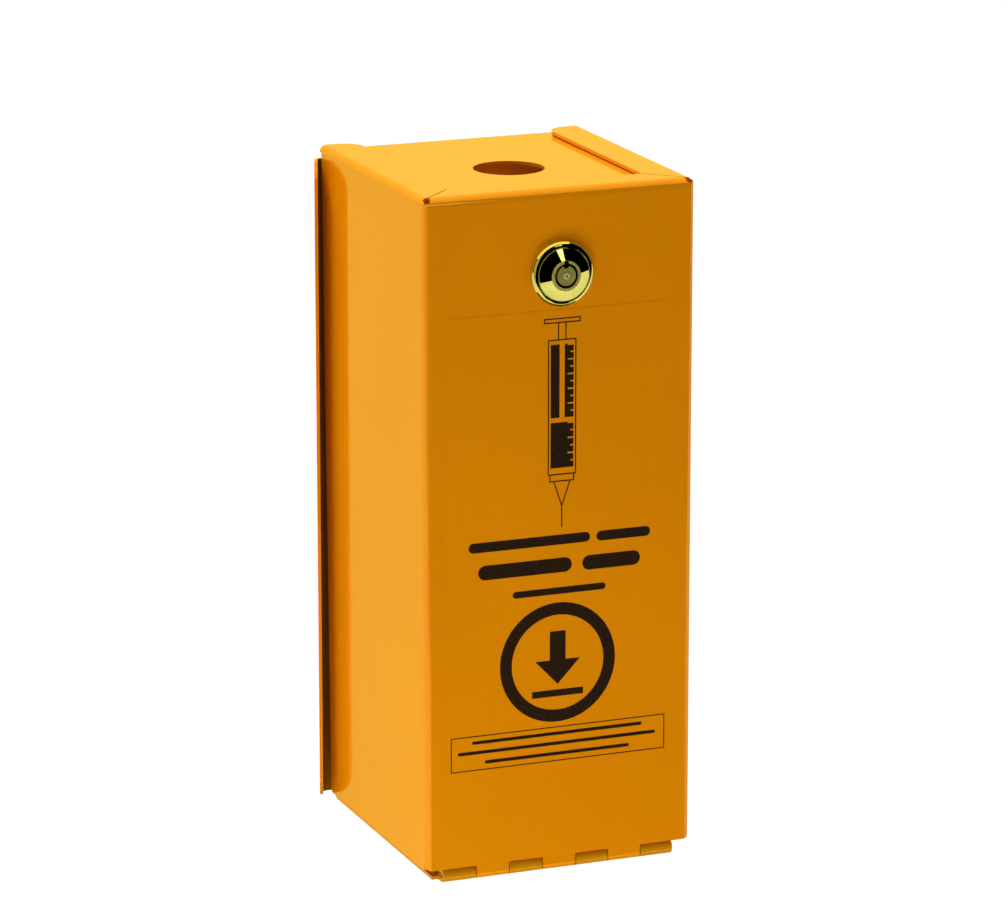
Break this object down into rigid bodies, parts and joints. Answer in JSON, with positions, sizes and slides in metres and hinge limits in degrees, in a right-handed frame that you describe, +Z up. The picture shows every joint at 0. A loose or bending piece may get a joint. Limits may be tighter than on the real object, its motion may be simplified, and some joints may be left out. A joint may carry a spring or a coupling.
{
  "type": "wall-mounted sharps container",
  "caption": "Tall lockable folded-steel wall cabinet that takes sharps through a round top hole into a removable plastic liner; cover hinges down at the front.",
  "frame": {"origin": "middle of the four wall screw holes, on the flat back face", "axes": "+Z up, +Y out of the back into the wall, the front panel faces -Y, +X to the right seen from the front"},
  "size_m": [0.1404, 0.1382, 0.3052],
  "materials": {
    "cover_coat": "gloss powder coat",
    "chassis_coat": "gloss powder coat",
    "label_film": "clear gloss film, shown in the colour behind it",
    "label_ink": "dark screen-printed ink on the film",
    "lock_brass": "polished",
    "lock_inner_brass": "machined",
    "zinc_steel": "bright zinc plate",
    "spring_steel": "plain",
    "liner_yellow": "moulded polypropylene",
    "liner_white": "moulded polypropylene"
  },
  "bodies": {
    "cabinet": {"chassis_sheet": "chassis_coat", "drop_chute": "chassis_coat", "cam_keeper": "zinc_steel", "keeper_rivets": "zinc_steel", "liner_stop": "chassis_coat", "stop_rivets": "zinc_steel", "hinge_pin": "chassis_coat", "liner_tub": "liner_yellow", "liner_lid": "liner_white"},
    "cover": {"cover_sheet": "cover_coat", "label_film": "label_film", "lock_rosette": "lock_brass", "lock_housing": "lock_brass", "lock_collar": "lock_inner_brass", "collar_pin": "zinc_steel", "driver_pins": "lock_inner_brass", "pin_springs": "spring_steel", "lock_washer": "zinc_steel", "lock_nut": "zinc_steel"},
    "lock_spindle": {"lock_plug": "lock_inner_brass", "key_pins": "spring_steel", "lock_cam": "zinc_steel", "cam_washer": "zinc_steel", "cam_screw": "zinc_steel"}
  },
  "joints": [
    {"name": "cover_swing", "type": "hinge", "parent": "cabinet", "child": "cover", "pos_m": [0, -0.1279, -0.1531], "axis": [1, 0, 0], "range_deg": [0, 180]},
    {"name": "lock_turn", "type": "hinge", "parent": "cover", "child": "lock_spindle", "pos_m": [0, -0.131, 0.112], "axis": [0, 1, 0], "range_deg": [0, 90]}
  ]
}
